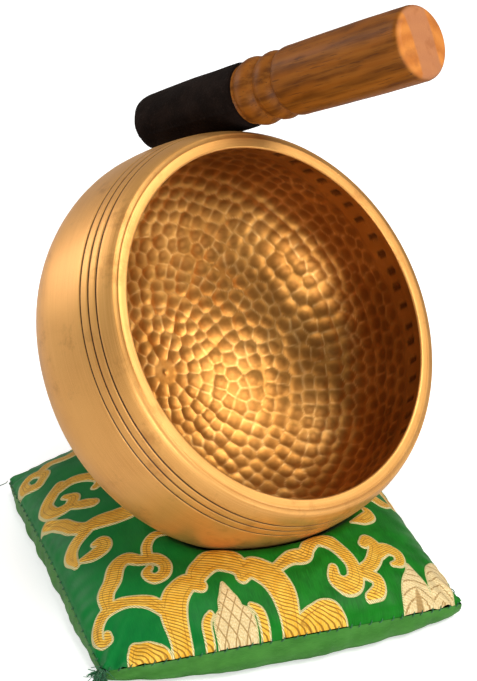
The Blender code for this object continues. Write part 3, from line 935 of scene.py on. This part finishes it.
def left_side():
    """Band, comma and scrolls that climb the left side."""
    band = [(-45.6, -4.9), (-41.2, -4.6), (-36.0, -5.5), (-30.0, -5.9), (-23.0, -4.6)]
    scroll = [(-44.6, 24.0), (-47.6, 20.6), (-50.8, 16.4), (-49.8, 11.2), (-45.4, 10.4)]
    scroll += [(-43.2, 13.4), (-45.2, 15.8)]
    fork = [(-44.4, -6.0), (-48.6, -8.0), (-50.8, -11.0), (-50.6, -16.0)]
    tongue = [(-48.9, -15.4), (-45.5, -16.0), (-42.2, -15.0), (-42.1, -12.8), (-44.2, -12.4)]
    hook = [(-46.2, 21.2), (-41.2, 22.4), (-36.6, 20.0), (-34.2, 15.8), (-36.8, 13.2)]
    ring = [(-49.0, 31.6), (-46.4, 35.2), (-48.6, 39.4), (-52.2, 38.4), (-52.4, 33.8)]
    ring += [(-49.4, 31.4)]
    tail = [(-47.2, 38.6), (-43.0, 41.0), (-38.6, 38.6), (-34.0, 40.6), (-30.6, 44.4)]
    return [
        Shape(band, (1.8, 2.6, 3.0, 2.8, 2.2)),
        Shape([(-44.6, -4.8), (-47.4, -1.4), (-49.6, 4.0), (-52.8, 9.0)], (2.2, 2.1, 1.9, 1.3)),
        Shape(fork, (1.4, 1.8, 1.7, 0.7)),
        Shape(tongue, (0.8, 1.9, 2.1, 1.8, 0.9)),
        Shape(scroll, (1.5, 1.9, 2.0, 2.0, 1.9, 1.7, 1.0)),
        Shape(hook, (1.8, 2.0, 1.9, 1.6, 1.0)),
        Shape([(-44.6, 9.6), (-41.8, 7.4), (-39.6, 5.8)], (1.4, 2.0, 1.9)),
        Shape(ring, (1.6, 1.6, 1.6, 1.5, 1.6, 1.6)),
        Shape(tail, (1.5, 1.9, 1.8, 1.8, 1.2)),
    ]


def middle_knot():
    """Scrolls under the bowl, about the middle of the panel."""
    shapes = []
    for side in (-1, 1):
        scroll = [(2.0, -14.0), (8.0, -11.0), (13.0, -5.0), (12.0, 3.0), (6.5, 6.0)]
        scroll += [(3.5, 1.5), (7.0, -2.0)]
        comma = [(14.0, 2.0), (19.0, 6.0), (18.0, 12.0), (13.5, 12.0)]
        widths = (0.8, 1.9, 2.2, 2.2, 2.0, 1.6, 0.9)
        shapes.append(Shape([(side * x, y) for x, y in scroll], widths))
        shapes.append(Shape([(side * x, y) for x, y in comma], (1.2, 1.9, 1.8, 0.8)))
    shapes.append(Shape([(0, -24.0), (0, -19.5), (0, -15.0)], (0.3, 2.6, 1.0), 1.0))
    shapes.append(Shape([(0, 7.0), (0, 13.0), (0, 18.0)], (1.0, 3.0, 0.3), 1.0))
    return shapes


def whole_pattern():
    front = arch_and_bud() + front_right()
    back = [shape.mirrored() for shape in front]
    side = [shape.mirrored(across=True) for shape in left_side()[:4]]
    return front + front_left() + middle_knot() + left_side() + back + side


def thread_work(across, along):
    """For every point: distance inside the outline, run along the stitches, and paleness."""
    u, v = across * 1000.0, along * 1000.0
    reach, far_outside = 8.0, -3.0
    edge = np.full(u.shape, far_outside)
    run = np.zeros(u.shape)
    pale = np.zeros(u.shape)
    for shape in whole_pattern():
        low = shape.line.min(0) - reach
        high = shape.line.max(0) + reach
        near = np.flatnonzero((u > low[0]) & (u < high[0]) & (v > low[1]) & (v < high[1]))
        if not len(near):
            continue
        best = np.full(len(near), far_outside)
        place = np.zeros(len(near))
        for (x, y), half, length in zip(shape.line, shape.half, shape.run):
            inside = half - np.hypot(u[near] - x, v[near] - y)
            nearer = inside > best
            best = np.where(nearer, inside, best)
            place = np.where(nearer, length, place)
        wins = best > edge[near]
        run[near[wins]] = place[wins]
        pale[near[wins]] = shape.pale
        edge[near] = np.maximum(edge[near], best)
    return edge, run, pale


def spread(value):
    """Even steps drawn a little closer together at both edges."""
    return value + 0.35 * (np.sin(0.5 * math.pi * value) - value)


def make_brocade(material):
    deselect()
    bpy.ops.mesh.primitive_grid_add(x_subdivisions=TOP_CELLS, y_subdivisions=TOP_CELLS, size=2.0)
    top = bpy.context.object
    top.name = "brocade_top"
    flat = points_of(top)
    s, t = spread(flat[:, 0]), spread(flat[:, 1])
    x, y, z, away = top_form(s, t)
    edge, run, pale = thread_work(HALF_WIDTH * s, HALF_LENGTH * t)
    # the thread work stands up from the satin, with a cord along its outline
    z = z + 0.00032 * ease(edge, -0.15, 0.55) + 0.00022 * np.exp(-((edge / 0.30) ** 2))
    set_points(top, np.stack([x, y, z], 1))
    keep_value(top, "edge", edge)
    keep_value(top, "run", run)
    keep_value(top, "pale", pale)
    keep_value(top, "away", away * 1000.0)
    weave = np.stack([HALF_WIDTH * s, HALF_LENGTH * t, np.zeros(len(s))], 1) * 1000.0
    keep_vector(top, "weave", weave)
    smooth(top)
    top.data.materials.append(material)
    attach(top, "cushion")
    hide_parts("cushion_top", "cushion_filling")


def satin_ground(tree, weave, u, warp):
    """Green satin with fine upright threads, bluer towards the left."""
    cloud = noise(tree, weave, 0.16, 3.0)
    ground = two_tone(tree, cloud, 0.3, 0.7, (0.0020, 0.100, 0.0035), (0.0060, 0.170, 0.008))
    ground = tinted(tree, ground, warp, 0.40, 0.70, 0.45, (0.012, 0.240, 0.016))
    return tinted(tree, ground, u, 10.0, -50.0, 0.6, (0.0008, 0.185, 0.045))


def thread_lay(tree, weave, u, v):
    """Stitches side by side across the work: 1 on a thread, 0 in the line between two."""
    drift = noise(tree, weave, 0.11, 1.0)
    slanted = maths(tree, "MULTIPLY_ADD", u, 0.45, v)
    slanted = maths(tree, "ADD", slanted, times(tree, drift, 0.9))
    return steps_between(tree, wave(tree, slanted, 0.80), -1.0, -0.15)


def gold_thread(tree, weave, edge, fleck, lay):
    tone = noise(tree, weave, 0.35, 3.0)
    gold = two_tone(tree, tone, 0.35, 0.65, (0.80, 0.40, 0.022), (0.90, 0.53, 0.060))
    gold = tinted(tree, gold, fleck, 0.45, 0.70, 0.5, (0.98, 0.68, 0.17))
    gold = mix_colour(tree, lay, (0.36, 0.165, 0.014), gold)
    # a brown line that follows the outline inside the work
    echo = steps_between(tree, wave(tree, edge, 0.95), 0.55, 0.9)
    band = steps_between(tree, edge, 0.5, 0.7)
    band = times(tree, band, rest_of(tree, steps_between(tree, edge, 1.6, 2.0)))
    return mix_colour(tree, times(tree, times(tree, echo, band), 0.55), gold, (0.30, 0.12, 0.015))


def pale_thread(tree, u, v, edge, run, pale, fleck):
    """Cream thread with a brown lattice, or with brown veins where pale is 2."""
    rising = wave(tree, maths(tree, "MULTIPLY_ADD", v, 0.75, u), 3.1)
    falling = wave(tree, maths(tree, "MULTIPLY_ADD", v, -0.75, u), 3.1)
    rising = steps_between(tree, rising, 0.86, 0.97)
    lattice = maths(tree, "MAXIMUM", rising, steps_between(tree, falling, 0.86, 0.97))
    along = times(tree, run, 2.0 * math.pi / 2.4)
    veins = maths(tree, "SINE", maths(tree, "MULTIPLY_ADD", edge, 2.2, along))
    midrib = steps_between(tree, edge, 3.6, 4.2)
    veins = maths(tree, "MAXIMUM", steps_between(tree, veins, 0.72, 0.95), midrib)
    brown = two_tone(tree, pale, 1.2, 1.8, lattice, veins)
    cream = two_tone(tree, fleck, 0.35, 0.7, (0.70, 0.50, 0.22), (0.88, 0.72, 0.40))
    return mix_colour(tree, times(tree, brown, 0.75), cream, (0.30, 0.15, 0.030))


def brocade_material():
    material, tree, shader = new_material("brocade")
    weave = attribute(tree, "weave", "Vector")
    edge = attribute(tree, "edge")
    run = attribute(tree, "run")
    pale = attribute(tree, "pale")
    axes = node(tree, "ShaderNodeSeparateXYZ")
    tree.links.new(weave, axes.inputs[0])
    u, v = axes.outputs[0], axes.outputs[1]
    threaded = steps_between(tree, edge, -0.10, 0.02)
    cord = steps_between(tree, edge, -0.42, -0.30)
    cord = times(tree, cord, rest_of(tree, steps_between(tree, edge, 0.10, 0.26)))
    warp = noise(tree, weave, 1.0, 2.0, (5.0, 0.35, 1.0))
    fleck = noise(tree, weave, 3.2, 2.0)
    lay = thread_lay(tree, weave, u, v)
    ground = satin_ground(tree, weave, u, warp)
    gold = gold_thread(tree, weave, edge, fleck, lay)
    cream = pale_thread(tree, u, v, edge, run, pale, fleck)
    thread = two_tone(tree, pale, 0.3, 0.7, gold, cream)
    colour = mix_colour(tree, threaded, ground, thread)
    twist = wave(tree, maths(tree, "ADD", u, v), 0.55)
    rope = two_tone(tree, twist, -0.6, 0.6, (0.50, 0.40, 0.14), (0.86, 0.78, 0.42))
    colour = mix_colour(tree, cord, colour, rope)
    tree.links.new(colour, shader.inputs["Base Color"])
    covered = maths(tree, "MAXIMUM", threaded, cord)
    rough = maths(tree, "MULTIPLY_ADD", covered, 0.04, 0.42)
    tree.links.new(rough, shader.inputs["Roughness"])
    tree.links.new(times(tree, covered, 0.12), shader.inputs["Metallic"])
    settle(shader, {"Specular IOR Level": 0.12, "Sheen Weight": 0.04, "Sheen Roughness": 0.4})
    height = times(tree, lay, covered)
    height = maths(tree, "MULTIPLY_ADD", times(tree, twist, cord), 0.35, height)
    weft = times(tree, warp, rest_of(tree, covered))
    height = maths(tree, "MULTIPLY_ADD", weft, 0.30, height)
    bump(tree, shader, height, 0.00014, 0.9)
    return material


# ---------------------------------------------------------------- the cushion's underside


def seam_place(share):
    """s and t at a share of the way round the seam, from the front left corner."""
    side = np.floor(share * 4.0) % 4
    part = 2.0 * (share * 4.0 - np.floor(share * 4.0)) - 1.0
    s = np.select([side == 0, side == 1, side == 2], [part, 1.0 + 0 * part, -part], -1.0)
    sides = [side == 0, side == 1, side == 2]
    t = np.select(sides, [-1.0 + 0 * part, part, 1.0 + 0 * part], -part)
    return s, t


def make_satin(material):
    deselect()
    bpy.ops.mesh.primitive_grid_add(
        x_subdivisions=UNDERSIDE_STEPS, y_subdivisions=UNDERSIDE_ROWS, size=2.0
    )
    base = bpy.context.object
    base.name = "satin_underside"
    flat = points_of(base)
    share = (flat[:, 0] + 1.0) * 0.5
    down = (1.0 - flat[:, 1]) * 0.5
    s, t = seam_place(share % 1.0)
    across, along = plan(s, t)
    x, y = turned_plan(across, along)
    # a full side that falls from the seam and rolls under, then a floor of cloth
    roll = np.clip(down / BAND_SHARE, 0.0, 1.0) * 0.5 * math.pi
    floor_share = np.clip((1.0 - down) / (1.0 - BAND_SHARE), 0.0, 1.0)
    middle_x, middle_y = CUSHION_MIDDLE.x, CUSHION_MIDDLE.y
    from_middle = np.hypot(x - middle_x, y - middle_y)
    out_x, out_y = (x - middle_x) / from_middle, (y - middle_y) / from_middle
    place = share * SEAM_ROUND
    gather = np.sin(place * 2.0 * math.pi / 0.0061 + 1.4 * np.sin(place * 190.0))
    gather = 0.4 * gather + np.sin(place * 2.0 * math.pi / 0.0172 + 2.0 * np.sin(place * 71.0))
    corner = np.abs(s * t) ** 8
    bulge = (0.0010 + 0.00034 * gather) * np.sin(2.0 * roll) * (1.0 - 0.8 * corner)
    tuck = BAND_TUCK * (1.0 - np.cos(roll)) - bulge
    floor_reach = (from_middle - BAND_TUCK) * floor_share
    reach = np.where(down < BAND_SHARE, from_middle - tuck, floor_reach)
    px = middle_x + out_x * reach
    py = middle_y + out_y * reach
    z = seam_height(s, t) * (1.0 - np.sin(roll)) - 0.0001 * (down < BAND_SHARE)
    z = np.maximum(z, 0.0)
    set_points(base, np.stack([px, py, z], 1))
    keep_vector(base, "weave", np.stack([place * 1000.0, down * 40.0, 0.0 * z], 1))
    select_only(base)
    bpy.ops.object.mode_set(mode="EDIT")
    bpy.ops.mesh.select_all(action="SELECT")
    bpy.ops.mesh.remove_doubles(threshold=2e-6)
    bpy.ops.mesh.normals_make_consistent(inside=False)
    bpy.ops.object.mode_set(mode="OBJECT")
    smooth(base)
    base.data.materials.append(material)
    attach(base, "cushion")
    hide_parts("cushion_base")


def satin_material():
    material, tree, shader = new_material("satin")
    weave = attribute(tree, "weave", "Vector")
    threads = noise(tree, weave, 1.0, 2.0, (0.5, 6.0, 1.0))
    cloud = noise(tree, weave, 0.12, 3.0)
    colour = two_tone(tree, cloud, 0.3, 0.7, (0.032, 0.158, 0.016), (0.056, 0.225, 0.030))
    # lighter streaks along the threads: a painted satin sheen
    colour = tinted(tree, colour, threads, 0.45, 0.7, 0.4, (0.085, 0.32, 0.045))
    tree.links.new(colour, shader.inputs["Base Color"])
    settle(shader, {"Roughness": 0.36, "Specular IOR Level": 0.22})
    bump(tree, shader, threads, 0.00006, 0.6)
    return material


# ---------------------------------------------------------------- stitches and loose threads


def thread_run(name, lines, radius):
    """Threads drawn as lines of points, joined into one piece."""
    made = []
    for points in lines:
        deselect()
        bpy.ops.curve.primitive_bezier_curve_add(location=(0, 0, 0))
        thread = bpy.context.object
        thread.data.splines.clear()
        line = thread.data.splines.new("POLY")
        line.points.add(len(points) - 1)
        for point, place in zip(line.points, points):
            point.co = (*place, 1.0)
        thread.data.bevel_depth = radius
        thread.data.bevel_resolution = 0
        thread.data.use_fill_caps = True
        made.append(thread)
    deselect()
    for thread in made:
        thread.select_set(True)
    bpy.context.view_layer.objects.active = made[0]
    bpy.ops.object.join()
    bpy.ops.object.convert(target="MESH")
    piece = bpy.context.object
    piece.name = name
    piece.data.name = name
    return piece


def seam_frame(share):
    """Point of the seam, with the directions along it and out of the cushion."""
    def at(value):
        s, t = seam_place(np.array([value % 1.0]))
        x, y = turned_plan(*plan(s, t))
        return Vector((x[0], y[0], seam_height(s, t)[0]))

    here = at(share)
    ahead = (at(share + 0.002) - at(share - 0.002)).normalized()
    outward = ahead.cross(Vector((0, 0, 1))).normalized()
    return here, ahead, outward


def make_stitches(material):
    chance = random.Random(11)
    lines = []
    for k in range(STITCH_COUNT):
        share = (k + 0.5 + chance.uniform(-0.16, 0.16)) / STITCH_COUNT
        here, ahead, outward = seam_frame(share)
        slant = chance.uniform(0.0004, 0.0008)
        rise = chance.uniform(0.0006, 0.0009)
        points = []
        for step in range(6):
            part = step / 5.0 * 2.0 - 1.0
            bow = 0.00040 - 0.0007 * part * part
            lift = Vector((0, 0, rise * part))
            points.append(here + ahead * slant * part + outward * bow + lift)
        lines.append(points)
    stitches = thread_run("hand_stitches", lines, STITCH_RADIUS)
    smooth(stitches)
    stitches.data.materials.append(material)
    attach(stitches, "cushion")
    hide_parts("seam_thread")


def make_tuft(material):
    """Frayed thread ends at the front corner, and one stray end at the left one."""
    chance = random.Random(23)
    corner = seam_frame(0.0)[0]
    away = (corner - CUSHION_MIDDLE).to_2d().normalized().to_3d()
    side = away.cross(Vector((0, 0, 1)))
    lines = []
    for _ in range(TUFT_COUNT):
        aim = away + side * chance.gauss(0, 0.55) + Vector((0, 0, chance.gauss(0.0, 0.4)))
        aim.normalize()
        bend = side * chance.gauss(0, 0.5) + Vector((0, 0, chance.gauss(-0.35, 0.35)))
        length = chance.uniform(0.0020, 0.0052)
        start = corner + Vector([chance.gauss(0, 0.0006) for _ in range(3)])
        points = []
        for step in range(7):
            part = step / 6.0
            place = start + aim * length * part + bend * length * part * part * 0.6
            place.z = max(place.z, 0.0004)
            points.append(place)
        lines.append(points)
    left, _, outward = seam_frame(0.75)
    stray = []
    for step in range(14):
        part = step / 13.0
        curl = Vector((math.cos(part * 4.2), math.sin(part * 4.2), 0.0)) * 0.0022 * part
        place = left + outward * (0.0008 + 0.0045 * part) + curl
        place.z = max(0.0005, left.z - 0.006 * part)
        stray.append(place)
    lines.append(stray)
    tuft = thread_run("frayed_corner", lines, TUFT_RADIUS)
    smooth(tuft)
    tuft.data.materials.append(material)
    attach(tuft, "cushion")
    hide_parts("corner_tuft")


def thread_material():
    material, tree, shader = new_material("thread")
    place = node(tree, "ShaderNodeTexCoord").outputs["Object"]
    tint = noise(tree, place, 900.0, 2.0)
    colour = two_tone(tree, tint, 0.35, 0.65, (0.002, 0.085, 0.026), (0.006, 0.155, 0.045))
    tree.links.new(colour, shader.inputs["Base Color"])
    settle(shader, {"Roughness": 0.7, "Sheen Weight": 0.2})
    bump(tree, shader, tint, 0.00005, 0.5)
    return material


def make_cushion():
    make_brocade(brocade_material())
    make_satin(satin_material())
    thread = thread_material()
    make_stitches(thread)
    make_tuft(thread)


# ---------------------------------------------------------------- stage, light and camera


def make_floor():
    deselect()
    bpy.ops.mesh.primitive_plane_add(size=8.0, location=(0, 0, -0.0002))
    floor = bpy.context.object
    floor.name = "floor"
    material, tree, shader = new_material("floor_paint")
    settle(shader, {"Roughness": 0.9, "Specular IOR Level": 0.1})
    seen = node(tree, "ShaderNodeLightPath").outputs["Is Camera Ray"]
    pale = mix_colour(tree, seen, (0.75, 0.75, 0.75), (0.85, 0.85, 0.85))
    tree.links.new(pale, shader.inputs["Base Color"])
    shader.inputs["Emission Color"].default_value = (1.0, 1.0, 1.0, 1.0)
    glow = times(tree, seen, 0.55)
    tree.links.new(glow, shader.inputs["Emission Strength"])
    floor.data.materials.append(material)


def soft_light(name, place, aim, width, height, power, colour=(1.0, 1.0, 1.0)):
    deselect()
    bpy.ops.object.light_add(type="AREA", location=place)
    light = bpy.context.object
    light.name = name
    light.data.shape = "RECTANGLE"
    light.data.size = width
    light.data.size_y = height
    light.data.energy = power
    light.data.color = colour
    light.rotation_euler = (Vector(aim) - Vector(place)).to_track_quat("-Z", "Y").to_euler()


def make_lights():
    world = bpy.data.worlds.new("studio")
    world.use_nodes = True
    background = world.node_tree.nodes["Background"]
    background.inputs["Color"].default_value = (1.0, 1.0, 1.0, 1.0)
    background.inputs["Strength"].default_value = 0.28
    bpy.context.scene.world = world
    target = (0.0, 0.0, 0.06)
    soft_light("key", (0.76, -0.17, 0.85), target, 0.42, 0.42, 6.3, (1.0, 0.98, 0.95))
    soft_light("overhead", (0.10, -0.12, 1.15), target, 0.30, 0.30, 3.4)
    soft_light("left_window", (-0.92, 0.50, 0.42), target, 0.40, 0.60, 3.0, (1.0, 0.99, 0.97))
    soft_light("right_low", (0.95, -0.55, 0.10), target, 0.4, 0.2, 1.4)
    soft_light("front_fill", (-0.10, -1.2, 0.22), target, 0.8, 0.30, 7.0)


def make_camera():
    deselect()
    place = Vector((0.00277, -0.78449, 0.52621))
    bpy.ops.object.camera_add(location=place, rotation=(math.radians(60.0), 0.0, 0.0))
    camera = bpy.context.object
    camera.name = "camera"
    camera.data.sensor_width = 36.0
    camera.data.lens = 169.57
    camera.data.clip_start = 0.05
    camera.data.clip_end = 20.0
    bpy.context.scene.camera = camera


bpy.context.scene.view_settings.view_transform = "Standard"
make_floor()
make_lights()
make_camera()
brass = brass_material()
make_outside(brass)
make_inside(brass)
make_mallet(wood_material(), suede_material())
make_cushion()
